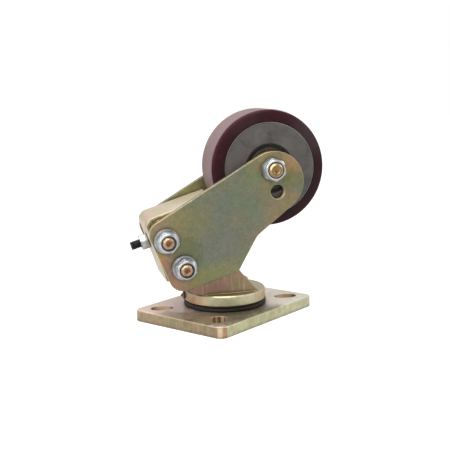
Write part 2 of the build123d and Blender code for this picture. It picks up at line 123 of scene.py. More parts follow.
def loft_rings(name, rings, matrix, loop=False, angle=30.0):
    """Rings of equal point count joined in order; ends capped with a fan, or joined when loop."""
    count = len(rings[0])
    verts = [tuple(p) for points in rings for p in points]
    ids = [list(range(k * count, (k + 1) * count)) for k in range(len(rings))]
    pairs = list(zip(ids, ids[1:]))
    if loop:
        pairs.append((ids[-1], ids[0]))
    faces = []
    for a, b in pairs:
        for i in range(count):
            j = (i + 1) % count
            faces.append((a[i], a[j], b[j], b[i]))
    if not loop:
        for end in (0, -1):
            centre = Vector((0, 0, 0))
            for p in rings[end]:
                centre += Vector(p)
            centre /= count
            hub = len(verts)
            verts.append(tuple(centre))
            rim = ids[end]
            for i in range(count):
                j = (i + 1) % count
                faces.append((rim[i], rim[j], hub) if end == -1 else (rim[j], rim[i], hub))
    return make_mesh(name, verts, faces, matrix, angle)


def lathe(name, profile, matrix, segs):
    """Solid of revolution about local Z from a closed loop of (r, z)."""
    angles = round_angles(segs)
    return loft_rings(name, [ring(angles, r, z) for r, z in profile], matrix, loop=True)


def hex_r(theta, flats, corner=0.35):
    """Radius of a hexagon, flats across, with slightly rounded corners (a smooth minimum)."""
    sharpness = 5.0
    t = (theta + math.pi / 6) % (math.pi / 3) - math.pi / 6
    flat = flats / 2 / math.cos(t)
    cap = flats / math.sqrt(3) - corner + 0.12
    return -math.log(math.exp(-sharpness * flat) + math.exp(-sharpness * cap)) / sharpness


def hex_piece(name, flats, height, matrix, hole=0.0, turn=0.0, chamfer_base=True, collar=()):
    """Hexagon nut or head along local Z from 0 to height, turn in degrees.

    collar is (r, z) points going on from the hexagon's top; hole is the bore's radius.
    """
    angles = round_angles(144)
    radii = [hex_r(a - math.radians(turn), flats) for a in angles]
    cone_r = flats / 2 * 0.965                  # radius where the 30 degree chamfer starts
    cut = [max(0.0, (r - cone_r) * math.tan(math.radians(30))) for r in radii]
    if chamfer_base:
        steps = [(cone_r, 0.0), ([r - 0.04 for r in radii], cut),
                 (radii, [c + 0.08 for c in cut])]
    else:
        steps = [([r - 0.05 for r in radii], 0.0), (radii, 0.08)]
    steps += [(radii, [height - c - 0.08 for c in cut]),
              ([r - 0.04 for r in radii], [height - c for c in cut]),
              (cone_r, height), *collar]
    if hole > 0:
        if not collar:
            steps += [(hole + 0.5, height), (hole, height - 0.5)]
        steps += [(hole, 0.5), (hole + 0.5, 0.0)]
    return loft_rings(name, [ring(angles, r, z) for r, z in steps], matrix, loop=hole > 0)


def thread_rod(name, r, pitch, start, plain_end, end, matrix, point, dimple=0.0, socket=0.0):
    """Rod along local Z: plain from start to plain_end, threaded to end, with a 45 degree point.

    dimple is the depth of a hollow in the end, socket a hexagon key's size across flats.
    """
    angles = round_angles(96)
    levels = [start, start + 0.02]
    if plain_end > start + 0.1:
        levels += [plain_end - 0.01]
    count = int((end - plain_end) / (pitch / 10))
    levels += [plain_end + k * (end - plain_end) / count for k in range(count + 1)]
    depth = 0.62 * pitch

    def radius(z, a):
        rad = r
        if z >= plain_end:
            phase = ((z / pitch) - a / (2 * math.pi)) % 1.0
            crest = abs(phase * 2 - 1)          # 1 at the crest, 0 in the root
            fill = min(1.0, max(0.0, (crest - 0.12) / 0.76))
            fade_in = min(1.0, (z - plain_end) / pitch)
            rad = r - depth * (1 - fill) * fade_in
        return min(rad, (r - point) + (end - z))

    rings = [ring(angles, [radius(z, a) for a in angles], z) for z in levels]
    if socket > 0:
        key = [hex_r(a, socket, corner=0.12) for a in angles]
        rings += [ring(angles, [k + 0.25 for k in key], end), ring(angles, key, end - 0.25),
                  ring(angles, key, end - 3.4), ring(angles, 0.4, end - 4.2)]
    if dimple > 0:
        for share, dz in ((0.82, 0.0), (0.62, -0.05), (0.52, -dimple * 0.75), (0.3, -dimple)):
            rings.append(ring(angles, (r - point) * share, end + dz))
    return loft_rings(name, rings, matrix, angle=40)


def tube_path(name, path, radius, segs, matrix, ripple=lambda i: 1.0):
    """Round tube along the points of path; ripple(i) scales the radius at each point."""
    path = [Vector(p) for p in path]
    rings = []
    side = None
    for i, p in enumerate(path):
        along = (path[min(i + 1, len(path) - 1)] - path[max(i - 1, 0)]).normalized()
        if side is None:
            up = Vector((0, 0, 1))
            ref = up if abs(along.dot(up)) < 0.9 else Vector((1, 0, 0))
            side = along.cross(ref).normalized()
        else:
            side = (side - along * side.dot(along)).normalized()
        other = along.cross(side).normalized()
        rad = radius * ripple(i)
        rings.append([tuple(p + (side * math.cos(a) + other * math.sin(a)) * rad)
                      for a in round_angles(segs)])
    return loft_rings(name, rings, matrix, angle=50)


def joined(name, parts):
    """Several closed shells as one piece."""
    bm = bmesh.new()
    for p in parts:
        bm.from_mesh(p.data)
    mesh = bpy.data.meshes.new(name)
    bm.to_mesh(mesh)
    bm.free()
    ob = new_object(name, mesh)
    for p in parts:
        old = p.data
        bpy.data.objects.remove(p)
        bpy.data.meshes.remove(old)
    return ob


# ------------------------------------------------------------------ material helpers
def srgb(r, g, b):
    """Linear colour from 0-255 sRGB."""
    def linear(c):
        return (c / 255 / 12.92) if c / 255 <= 0.04045 else ((c / 255 + 0.055) / 1.055) ** 2.4
    return (linear(r), linear(g), linear(b))


class Shader:
    """A material's node tree; place is the position in the arm frame, metres."""

    def __init__(self, name):
        self.material = bpy.data.materials.new(name)
        self.material.use_nodes = True
        self.tree = self.material.node_tree
        self.tree.nodes.clear()
        output = self.node('OutputMaterial')
        self.bsdf = self.node('BsdfPrincipled')
        self.put(output.inputs[0], self.bsdf.outputs[0])
        mapping = self.node('Mapping')
        mapping.inputs['Rotation'].default_value = (0, 0, ARM_TURN)
        self.put(mapping.inputs[0], self.row_place())
        self.place = mapping.outputs[0]

    def node(self, kind):
        return self.tree.nodes.new('ShaderNode' + kind)

    def put(self, socket, value):
        """Links a socket, or sets a plain value."""
        if isinstance(value, bpy.types.NodeSocket):
            self.tree.links.new(value, socket)
            return
        if isinstance(value, tuple) and len(value) == 3 and socket.type == 'RGBA':
            value = (*value, 1.0)
        socket.default_value = value

    def row_place(self):
        return self.node('TexCoord').outputs['Object']

    def calc(self, operation, a, b=None):
        node = self.node('Math')
        node.operation = operation
        self.put(node.inputs[0], a)
        if b is not None:
            self.put(node.inputs[1], b)
        return node.outputs[0]

    def add(self, a, b):
        return self.calc('ADD', a, b)

    def sub(self, a, b):
        return self.calc('SUBTRACT', a, b)

    def mul(self, a, b):
        return self.calc('MULTIPLY', a, b)

    def vary(self, base, pattern, amount):
        return self.add(base, self.mul(pattern, amount))

    def wobble(self, pattern, amount):
        """Pattern centred on zero."""
        return self.mul(self.sub(pattern, 0.5), amount)

    def wave(self, distance, period):
        return self.calc('SINE', self.mul(distance, 2 * math.pi / period))

    def hypot(self, a, b):
        return self.calc('SQRT', self.add(self.mul(a, a), self.mul(b, b)))

    def vector(self, operation, a, b=None):
        node = self.node('VectorMath')
        node.operation = operation
        self.put(node.inputs[0], a)
        if b is not None:
            self.put(node.inputs[1], b)
        return node.outputs['Value' if operation in ('DOT_PRODUCT', 'DISTANCE') else 0]

    def split(self, vector):
        node = self.node('SeparateXYZ')
        self.put(node.inputs[0], vector)
        return node.outputs

    def from_axis(self, x, z, centre):
        """Offsets in x and z from a bolt's axis."""
        return self.sub(x, centre[0] * MM), self.sub(z, centre[1] * MM)

    def fade(self, value, start, end, at_start=0.0, at_end=1.0, smooth=True):
        """Clamped passage from at_start to at_end as value goes from start to end."""
        node = self.node('MapRange')
        node.interpolation_type = 'SMOOTHSTEP' if smooth else 'LINEAR'
        node.clamp = True
        self.put(node.inputs[0], value)
        for i, limit in enumerate((start, end, at_start, at_end)):
            node.inputs[i + 1].default_value = limit
        return node.outputs[0]

    def tint(self, colour, other, mask, amount=None):
        """Colour taken towards other by mask times amount."""
        if amount is not None:
            mask = self.mul(mask, amount)
        node = self.node('Mix')
        node.data_type = 'RGBA'
        self.put(node.inputs['Factor'], mask)
        first, second = [s for s in node.inputs if s.type == 'RGBA']
        self.put(first, colour)
        self.put(second, other)
        return [s for s in node.outputs if s.type == 'RGBA'][0]

    def noise(self, scale, detail=3.0, rough=0.5, distort=0.0, stretch=None, offset=None):
        vector = self.place
        if stretch or offset:
            mapping = self.node('Mapping')
            if stretch:
                mapping.inputs['Scale'].default_value = stretch
            if offset:
                mapping.inputs['Location'].default_value = offset
            self.put(mapping.inputs[0], vector)
            vector = mapping.outputs[0]
        node = self.node('TexNoise')
        node.inputs['Scale'].default_value = scale
        node.inputs['Detail'].default_value = detail
        node.inputs['Roughness'].default_value = rough
        node.inputs['Distortion'].default_value = distort
        self.put(node.inputs['Vector'], vector)
        return node.outputs['Fac']

    def ramp(self, value, stops):
        """Colour ramp through (position, linear colour) stops."""
        node = self.node('ValToRGB')
        node.color_ramp.interpolation = 'EASE'
        elements = node.color_ramp.elements
        while len(elements) < len(stops):
            elements.new(0.5)
        for element, (position, colour) in zip(elements, stops):
            element.position = position
            element.color = (*colour, 1.0)
        self.put(node.inputs[0], value)
        return node.outputs[0]

    def bump(self, height, strength=0.12, distance=0.0001, normal=None):
        node = self.node('Bump')
        node.inputs['Strength'].default_value = strength
        node.inputs['Distance'].default_value = distance
        self.put(node.inputs['Height'], height)
        if normal is not None:
            self.put(node.inputs['Normal'], normal)
        return node.outputs[0]

    def bevel(self, radius):
        node = self.node('Bevel')
        node.samples = 2
        node.inputs['Radius'].default_value = radius
        return node.outputs[0]

    def facing(self, blend):
        node = self.node('LayerWeight')
        node.inputs['Blend'].default_value = blend
        return node.outputs['Facing']

    def edge_mask(self, radius):
        """1 along sharp edges, 0 on flats."""
        normal = self.node('NewGeometry').outputs['Normal']
        agreement = self.vector('DOT_PRODUCT', self.bevel(radius), normal)
        return self.fade(self.sub(1.0, agreement), start=0.01, end=0.12)

    def crevices(self, distance, full):
        """1 where pieces meet; full is the openness at which the mask is complete."""
        node = self.node('AmbientOcclusion')
        node.samples = 2
        node.inputs['Distance'].default_value = distance
        return self.fade(node.outputs['AO'], start=0.85, end=full)

    def normals(self):
        """The face normal in the row frame and in the arm frame."""
        to_object = self.node('VectorTransform')
        to_object.vector_type = 'NORMAL'
        to_object.convert_from, to_object.convert_to = 'WORLD', 'OBJECT'
        self.put(to_object.inputs[0], self.node('NewGeometry').outputs['Normal'])
        to_arm = self.node('VectorRotate')
        to_arm.rotation_type = 'Z_AXIS'
        to_arm.inputs['Angle'].default_value = ARM_TURN
        self.put(to_arm.inputs[0], to_object.outputs[0])
        return to_object.outputs[0], to_arm.outputs[0]

    def finish(self, inputs):
        for name, value in inputs.items():
            self.put(self.bsdf.inputs[name], value)
        return self.material


# ------------------------------------------------------------------ yellow zinc
def slot_walls(mat, colour, fine, row_normal):
    """Coppery walls inside the plate's slots, painted brighter as if lit, with painted shade
    toward each end. Returns the colour and the walls' mask.
    """
    x, y, _ = mat.split(mat.row_place())
    slot_x, slot_y = 0.0475, 0.032              # slot centres, +-x and +-y
    radius = mat.hypot(mat.sub(mat.calc('ABSOLUTE', x), slot_x),
                       mat.sub(mat.calc('ABSOLUTE', y), slot_y))
    steep = mat.fade(mat.calc('ABSOLUTE', mat.split(row_normal)[2]), start=0.5, end=0.2)
    walls = mat.mul(steep, mat.fade(radius, start=0.0125, end=0.0112))
    copper = mat.tint(srgb(240, 194, 152), srgb(255, 232, 204),
                      mat.fade(fine, start=0.4, end=0.62))
    # the slot at -x, -y, nearest the camera, is darker and brassy, with bright bars of painted
    # highlight
    front = mat.mul(mat.calc('LESS_THAN', x, 0.0), mat.calc('LESS_THAN', y, 0.0))
    highlight_bars = mat.noise(scale=420.0, detail=2.0, rough=0.5, stretch=(1.0, 1.0, 0.02))
    brassy = mat.tint(srgb(128, 92, 50), srgb(236, 204, 160),
                      mat.fade(highlight_bars, start=0.48, end=0.60))
    copper = mat.tint(copper, brassy, front)
    end_shade_amount, front_less = 0.80, 0.45         # painted shade at the slot ends, less at the front
    end_shade = mat.mul(mat.fade(radius, start=0.0080, end=0.0100),
                   mat.sub(end_shade_amount, mat.mul(front, front_less)))
    copper = mat.tint(copper, srgb(70, 44, 26), end_shade)
    return mat.tint(colour, copper, walls), walls


def seam_lines(mat, colour, arm_normal):
    """Dark joint line of the bent web beside its edges, on the cover's -x' face: painted shade of
    the gap there, with a broader painted shade beside it.
    """
    y = mat.split(mat.place)[1]
    y = mat.add(mat.calc('ABSOLUTE', y),
                mat.wobble(mat.noise(scale=140.0, detail=2.0), amount=0.0005))
    line = mat.mul(mat.fade(y, start=0.02195, end=0.02225), mat.fade(y, start=0.0232, end=0.0229))
    # a broader band of painted shade around the joint line
    seam_shade = mat.mul(mat.fade(y, start=0.0180, end=0.0222), mat.fade(y, start=0.0236, end=0.0230))
    seam_shade_share = 0.7
    line = mat.calc('MAXIMUM', line, mat.mul(seam_shade, seam_shade_share))
    face = mat.fade(mat.vector('DOT_PRODUCT', arm_normal, (-0.958, 0.0, -0.287)),
                    start=0.6, end=0.85)
    return mat.tint(colour, srgb(78, 70, 44), mat.mul(line, face), amount=0.75)


def foot_shade(mat, colour, arm_normal):
    """Painted shadow on the disc's top between the weld and the rim, under the housing's foot."""
    x, y, _ = mat.split(mat.place)
    side = mat.fade(mat.calc('ABSOLUTE', y), start=0.0262, end=0.0272)
    span = mat.fade(mat.calc('ABSOLUTE', x), start=0.0265, end=0.0235)
    top = mat.fade(mat.vector('DOT_PRODUCT', arm_normal, (0.0, 0.0, 1.0)), start=0.80, end=0.97)
    shade_amount = 0.68
    mask = mat.mul(mat.mul(side, span), mat.mul(top, shade_amount))
    return mat.tint(colour, srgb(84, 68, 42), mask)


def bore_wall(mat, arm_normal):
    """Mask of the wall of the open hole beside the axle."""
    hole = (0.0411, 0.0, 0.1108)
    flat_place = mat.vector('MULTIPLY', mat.place, (1.0, 0.0, 1.0))
    radius = mat.vector('DISTANCE', flat_place, hole)
    sideways = mat.calc('ABSOLUTE', mat.vector('DOT_PRODUCT', arm_normal, (0.0, 1.0, 0.0)))
    wall = mat.mul(mat.fade(radius, start=0.0074, end=0.0068),
                   mat.fade(sideways, start=0.9, end=0.6))
    return mat.mul(wall, mat.fade(mat.split(mat.place)[2], start=0.1135, end=0.1085))


def zinc(name, stops, seed, rough, metal, patch_scale=20.0, spots=(), painted_light_by_normal=(),
         edge=(226, 206, 160), edge_amount=0.6, sheen=(200, 160, 140), sheen_amount=0.22,
         streak=None, streak_amount=0.1, cloud=0.10, grain=0.14,
         mottle=0.28, green=(112, 130, 84), pink=(172, 128, 116),
         slots=False, seams=False, foot=False, bore=False):
    """Yellow-passivated zinc: soft iridescent patches, fine cloudiness, brighter edges that are
    partly worn and partly a painted highlight, painted shade where pieces meet.

    stops: (position, colour) of the patches.
    spots: (centre in arm-frame mm, full radius, end radius, colour, amount).
    painted_light_by_normal: painted light and shade by face direction: (arm-frame direction,
    cosine at start, cosine when full, colour, amount).
    streak: stretch of the streaks' noise.
    slots, seams, foot and bore add details of single pieces, and need painted_light_by_normal.
    """
    mat = Shader(name)
    coarse = mat.noise(scale=patch_scale, detail=2.5, rough=0.5, distort=0.7,
                       offset=(seed, seed * 0.7, -seed))
    fine = mat.noise(scale=patch_scale * 4.2, detail=3.5, rough=0.6, distort=0.6,
                     offset=(seed * 2, 3.1, seed))
    coarse_share, fine_share = 0.70, 0.30
    patches = mat.add(mat.mul(coarse, coarse_share), mat.mul(fine, fine_share))
    patches = mat.fade(patches, start=0.32, end=0.68, smooth=False)
    colour = mat.ramp(patches, [(position, srgb(*c)) for position, c in stops])
    for centre, inner, outer, spot, amount in spots:
        distance = mat.vector('DISTANCE', mat.place, tuple(c * MM for c in centre))
        distance = mat.add(distance, mat.wobble(fine, amount=0.035))
        mask = mat.fade(distance, start=inner * MM, end=outer * MM, at_start=1.0, at_end=0.0)
        colour = mat.tint(colour, srgb(*spot), mask, amount)
    if painted_light_by_normal:
        row_normal, arm_normal = mat.normals()
    # colours painted by face direction stand in for light and shade: lit faces lighter, shaded
    # faces darker, painted reflections and highlights
    for direction, start, full, shade, amount in painted_light_by_normal:
        mask = mat.fade(mat.vector('DOT_PRODUCT', arm_normal, direction), start, full)
        lighter = [min(255, int(v * 1.12)) for v in shade]
        varied = mat.tint(srgb(*shade), srgb(*lighter), mat.fade(fine, start=0.35, end=0.65))
        colour = mat.tint(colour, varied, mask, amount)
    if slots:
        colour, slot_mask = slot_walls(mat, colour, fine, row_normal)

    # small patches of green and pink interference colour
    for scale, offset, start, end, hue in ((95.0, (5.0, seed, 1.0), 0.42, 0.72, green),
                                           (115.0, (seed, 9.0, 4.0), 0.44, 0.74, pink)):
        pattern = mat.noise(scale, detail=5.0, rough=0.68, distort=0.5, offset=offset)
        colour = mat.tint(colour, srgb(*hue), mat.fade(pattern, start, end), mottle)
    if seams:
        colour = seam_lines(mat, colour, arm_normal)
    if foot:
        colour = foot_shade(mat, colour, arm_normal)
    if bore:
        # the bore wall is painted near-white as a painted highlight, and later made less metallic
        # and kept free of painted shade
        bore_highlight_mask = bore_wall(mat, arm_normal)
        colour = mat.tint(colour, srgb(255, 234, 196), bore_highlight_mask, amount=0.95)

    # fine crystalline grain, light then dark
    for scale, offset, speck in ((1100.0, (seed, 2.0, 7.0), (228, 216, 180)),
                                 (900.0, (7.0, seed, 3.0), (62, 54, 36))):
        pattern = mat.noise(scale, detail=2.0, rough=0.6, offset=offset)
        colour = mat.tint(colour, srgb(*speck), mat.fade(pattern, start=0.56, end=0.72), grain)
    clouds = mat.fade(mat.noise(scale=260.0, detail=5.0, rough=0.65), start=0.38, end=0.68)
    colour = mat.tint(colour, (0.03, 0.028, 0.02), clouds, cloud)
    if streak:
        pattern = mat.noise(scale=90.0, detail=4.0, rough=0.6, stretch=streak)
        colour = mat.tint(colour, srgb(214, 204, 166), mat.fade(pattern, start=0.45, end=0.75),
                          streak_amount)
    colour = mat.tint(colour, srgb(*sheen), mat.facing(blend=0.35), sheen_amount)
    # lighter edges: partly wear, partly a painted highlight where the bevels catch the light
    uneven = mat.fade(mat.noise(scale=160.0, detail=3.0), start=0.35, end=0.6, at_start=0.5)
    edge_wear_and_highlight = mat.mul(mat.edge_mask(radius=0.0009), uneven)
    colour = mat.tint(colour, srgb(*edge), edge_wear_and_highlight, edge_amount)

    # painted shade where two pieces meet, kept out of the bore and mostly out of the slots
    shade_amount, slot_clear = 0.75, 0.85
    crevice_shade = mat.mul(mat.crevices(distance=0.0035, full=0.30), shade_amount)
    if bore:
        crevice_shade = mat.mul(crevice_shade, mat.sub(1.0, bore_highlight_mask))
        metal = mat.mul(mat.sub(1.0, bore_highlight_mask), metal)
    if slots:
        crevice_shade = mat.mul(crevice_shade, mat.sub(1.0, mat.mul(slot_mask, slot_clear)))
    colour = mat.tint(colour, srgb(44, 36, 26), crevice_shade)

    # relief: coarse and fine grain less scattered pits
    grain_share, fine_grain_share, pit_share = 0.6, 0.25, 0.5
    height = mat.add(
        mat.mul(mat.noise(scale=500.0, detail=4.0, rough=0.6), grain_share),
        mat.mul(mat.noise(scale=2400.0, detail=2.0, rough=0.5), fine_grain_share))
    pits = mat.fade(mat.noise(scale=620.0, detail=1.0), start=0.70, end=0.78)
    height = mat.sub(height, mat.mul(pits, pit_share))
    return mat.finish({
        'Base Color': colour,
        'Metallic': metal,
        'Roughness': mat.vary(rough - 0.07, mat.noise(scale=60.0, detail=4.0, rough=0.6),
                              amount=0.16),
        'Normal': mat.bump(height, normal=mat.bevel(radius=0.0004)),
        'Specular IOR Level': 0.5})


# columns of these tables: see zinc()
ARM_STOPS = [(0.0, (118, 130, 118)), (0.4, (130, 136, 114)), (0.65, (144, 142, 104)),
             (0.85, (156, 140, 108)), (1.0, (164, 136, 118))]
NEAR_ARM_SPOTS = [
    ((-4, -33, 84), 14, 58, (122, 129, 119), 0.70), ((54, -33, 131), 4, 18, (128, 114, 62), 0.55),
    ((16, -33, 104), 8, 30, (120, 138, 114), 0.50), ((-34, -33, 92), 6, 28, (138, 138, 90), 0.55),
    ((-62, -33, 88), 4, 24, (180, 150, 114), 0.65), ((-46, -33, 88), 3, 14, (158, 146, 86), 0.40),
    ((-38, -33, 66), 2, 17, (108, 120, 76), 0.62), ((-60, -33, 62), 1, 12, (204, 166, 80), 0.65),
    ((-56, -33, 52), 1, 13, (202, 130, 112), 0.72), ((-50, -33, 32), 4, 22, (184, 136, 110), 0.80),
    ((-28, -33, 40), 2, 13, (150, 152, 86), 0.55), ((-14, -33, 43), 1, 11, (152, 154, 90), 0.50),
    ((-4, -33, 47), 2, 17, (150, 150, 98), 0.50), ((14, -33, 55), 2, 15, (140, 144, 100), 0.40),
    ((58, -33, 138), 6, 22, (192, 154, 112), 0.80), ((30, -33, 139), 4, 17, (184, 160, 116), 0.60),
    ((54, -33, 122), 1, 11, (120, 136, 72), 0.70), ((52, -33, 104), 2, 13, (176, 148, 104), 0.55),
    ((40, -33, 92), 2, 14, (166, 146, 108), 0.50), ((24, -33, 123), 2, 15, (120, 150, 112), 0.60),
    ((8, -33, 88), 2, 12, (150, 138, 98), 0.40),
]
FAR_ARM_SPOTS = [
    ((-4, 33, 84), 14, 50, (122, 129, 119), 0.6), ((-60, 33, 60), 4, 24, (176, 144, 110), 0.7),
    ((-44, 33, 34), 4, 24, (170, 138, 112), 0.7), ((-36, 33, 66), 4, 20, (112, 124, 78), 0.5),
    ((56, 33, 132), 6, 26, (190, 154, 112), 0.7), ((52, 33, 106), 3, 14, (124, 138, 80), 0.5),
]
# painted light on the plate's top: a bright patch as a painted pool of light, dark patches as
# painted reflections of the disc, seal and arm
PLATE_LIGHT_SPOTS = [
    ((70, 14, 10), 30, 64, (255, 248, 232), 1.0), ((-8, -46, 10), 16, 44, (74, 60, 50), 0.95),
    ((20, -46, 10), 14, 38, (68, 64, 42), 0.95), ((-36, -50, 10), 10, 32, (96, 80, 62), 0.95),
    ((-54, -32, 10), 6, 24, (150, 128, 104), 0.8),
]
# painted light and shade on the plate's sides by direction: darker left side, paler right side, a
# copper corner band with a painted highlight on one flank and painted shade on the other
PLATE_FACE_LIGHT = [
    ((-0.609, -0.793, 0.0), 0.5, 0.9, (134, 118, 86), 0.9),
    ((0.793, -0.609, 0.0), 0.5, 0.9, (204, 206, 160), 0.85),
    ((0.05, -0.998, 0.0), 0.80, 0.95, (190, 146, 106), 0.8),
    ((-0.36, -0.933, 0.0), 0.940, 0.985, (240, 212, 176), 0.75),
    ((0.30, -0.954, 0.0), 0.950, 0.985, (166, 124, 80), 0.70),
]

# the arm's rear faces are painted near-white: a painted reflection of the bright surroundings
near_arm_zinc = zinc(
    "zinc_arm", ARM_STOPS, seed=1.3, rough=0.40, metal=0.66, mottle=0.24, cloud=0.16,
    spots=NEAR_ARM_SPOTS, edge=(226, 204, 166), edge_amount=0.7, grain=0.22, bore=True,
    painted_light_by_normal=[((-0.966, 0.0, -0.258), 0.86, 0.97, (244, 232, 204), 0.85)])
# the far arm's -Y face is painted a lighter olive, as if lit
far_arm_zinc = zinc(
    "zinc_arm_far", ARM_STOPS, seed=3.9, rough=0.40, metal=0.64, mottle=0.24, cloud=0.14,
    spots=FAR_ARM_SPOTS, edge=(222, 202, 158), edge_amount=0.7,
    painted_light_by_normal=[((0.0, -1.0, 0.0), 0.6, 0.9, (150, 147, 98), 0.85)])
plate_zinc = zinc(
    "zinc_plate",
    [(0.0, (206, 192, 168)), (0.35, (226, 206, 192)), (0.65, (232, 206, 200)),
     (0.85, (226, 194, 190)), (1.0, (204, 196, 164))],
    seed=4.2, rough=0.34, metal=0.48, patch_scale=24, slots=True, edge=(250, 236, 212),
    sheen=(206, 186, 170), sheen_amount=0.10, cloud=0.08, mottle=0.26, green=(158, 164, 122),
    pink=(206, 164, 152), spots=PLATE_LIGHT_SPOTS, painted_light_by_normal=PLATE_FACE_LIGHT, streak=(5, 5, 0.3),
    streak_amount=0.22)
# the disc's rim sides are painted by direction: darker pink on the left as painted shade, lighter
# pink on the right as painted light
disc_zinc = zinc(
    "zinc_disc",
    [(0.0, (186, 188, 148)), (0.4, (208, 206, 166)), (0.7, (224, 214, 180)),
     (1.0, (220, 190, 166))],
    seed=7.7, rough=0.36, metal=0.68, mottle=0.2, green=(168, 180, 124), pink=(206, 166, 142),
    patch_scale=26, streak=(3, 3, 60), streak_amount=0.2, edge=(232, 220, 178), edge_amount=0.4,
    foot=True, painted_light_by_normal=[((-0.95, -0.3, 0.0), 0.75, 0.98, (168, 128, 100), 0.7),
                          ((0.9, -0.4, 0.0), 0.8, 0.99, (206, 170, 134), 0.6)])
cheek_zinc = zinc(
    "zinc_cheek",
    [(0.0, (146, 136, 96)), (0.4, (174, 146, 118)), (0.7, (180, 138, 122)),
     (1.0, (192, 164, 128))],
    seed=2.6, rough=0.40, metal=0.58, mottle=0.34, green=(134, 134, 84), pink=(186, 128, 120),
    streak=(6, 1, 0.4), streak_amount=0.32,
    spots=[((-60, -26, 88), 3, 26, (120, 122, 56), 0.9),
           ((-10, -26, 30), 2, 20, (150, 112, 98), 0.6),
           ((16, -26, 34), 2, 16, (164, 140, 108), 0.5)])
# cover faces painted by direction: the -Y faces olive as painted shade, the -x' face and its
# corner pale as a painted highlight
cover_zinc = zinc(
    "zinc_cover",
    [(0.0, (170, 163, 130)), (0.4, (186, 179, 151)), (0.7, (196, 187, 163)),
     (1.0, (184, 165, 140))],
    seed=9.1, rough=0.38, metal=0.52, edge=(250, 240, 214), mottle=0.24, green=(202, 200, 158),
    pink=(222, 196, 180), seams=True, cloud=0.16, grain=0.2,
    spots=[((-69, -12, 88), 4, 26, (208, 182, 164), 0.65),
           ((-40, -20, 100), 3, 22, (222, 218, 190), 0.5)],
    painted_light_by_normal=[((0.0, -1.0, 0.0), 0.42, 0.68, (108, 106, 54), 0.95),
               ((-0.958, 0.0, -0.287), 0.7, 0.95, (214, 200, 176), 0.6),
               ((-0.88, -0.39, -0.26), 0.95, 0.99, (240, 230, 200), 0.6)])
# the dust shield's yellow zinc is painted dark olive: painted shade for its place in the arm's
# shadow
shield_zinc_painted_shade = zinc(
    "zinc_shield_painted_shade", [(0.0, (50, 47, 34)), (0.5, (66, 60, 42)), (1.0, (82, 72, 50))],
    seed=5.5, rough=0.5, metal=0.5, edge=(120, 108, 80), edge_amount=0.3)
weld_zinc = zinc(
    "zinc_weld", [(0.0, (140, 130, 84)), (0.5, (172, 156, 108)), (1.0, (196, 176, 132))],
    seed=8.8, rough=0.34, metal=0.7, patch_scale=60)


# ------------------------------------------------------------------ other materials
def bolt_material():
    """Copper-toned zinc: pale at the point's edge and other sharp edges as a painted highlight,
    darker in the centre as painted shade.
    """
    mat = Shader("yellow_zinc_bolt")
    colour = mat.ramp(mat.noise(scale=240.0, detail=4.0, rough=0.6, distort=0.6),
                      [(0.3, srgb(160, 122, 92)), (0.5, srgb(198, 162, 128)),
                       (0.7, srgb(174, 134, 102))])
    x, y, z = mat.split(mat.place)
    # bolt, radii in mm where the dark core of painted shade starts and stops fading, core colour
    for centre, inner, outer, core in ((PIVOT, 1.6, 3.3, (112, 72, 50)),
                                       (THRUST, 1.6, 3.3, (120, 72, 46)),
                                       (AXLE, 2.4, 4.8, (126, 106, 50))):
        radius = mat.hypot(*mat.from_axis(x, z, centre))
        uneven = mat.wobble(mat.noise(scale=500.0, detail=2.0), amount=0.0012)
        radius = mat.add(radius, uneven)
        tip = mat.fade(y, start=-0.036, end=-0.040)
        centre_shade = mat.fade(radius, start=inner * MM, end=outer * MM, at_start=1.0, at_end=0.0)
        colour = mat.tint(colour, srgb(*core), mat.mul(centre_shade, tip), amount=0.85)
    axle_tip = (AXLE[0] * MM, -0.046, AXLE[1] * MM)
    near_tip = mat.fade(mat.vector('DISTANCE', mat.place, axle_tip),
                        start=0.006, end=0.009, at_start=1.0, at_end=0.0)
    colour = mat.tint(colour, srgb(168, 140, 92), near_tip, amount=0.55)
    head_colour = mat.ramp(mat.noise(scale=60.0, detail=3.0, rough=0.6, distort=0.5),
                           [(0.3, srgb(176, 158, 98)), (0.5, srgb(200, 172, 112)),
                            (0.7, srgb(198, 146, 104))])
    colour = mat.tint(colour, head_colour, mat.fade(y, start=0.030, end=0.033))
    # painted highlight on sharp edges
    colour = mat.tint(colour, srgb(250, 234, 208), mat.edge_mask(radius=0.0005), amount=0.55)
    return mat.finish({
        'Base Color': colour,
        'Metallic': 0.85,
        'Roughness': mat.vary(0.20, mat.noise(scale=300.0), amount=0.16),
        'Normal': mat.bump(mat.noise(scale=2500.0, detail=3.0, rough=0.6))})


def steel(name, dark, light, rough, scale, metal):
    mat = Shader(name)
    colour = mat.ramp(mat.noise(scale, detail=4.0, rough=0.6, distort=0.4),
                      [(0.3, srgb(*dark)), (0.7, srgb(*light))])
    # painted bluish sheen towards grazing view
    colour = mat.tint(colour, srgb(176, 190, 204), mat.facing(blend=0.4), amount=0.18)
    # edges painted pale as a highlight
    colour = mat.tint(colour, srgb(244, 246, 248), mat.edge_mask(radius=0.0005), amount=0.55)
    # painted shade where pieces meet
    colour = mat.tint(colour, srgb(58, 60, 62), mat.crevices(distance=0.0022, full=0.35),
                      amount=0.65)
    return mat.finish({
        'Base Color': colour,
        'Metallic': metal,
        'Roughness': mat.vary(rough, mat.noise(scale=200.0), amount=0.18),
        'Normal': mat.bump(mat.noise(scale=2200.0, detail=3.0, rough=0.6))})


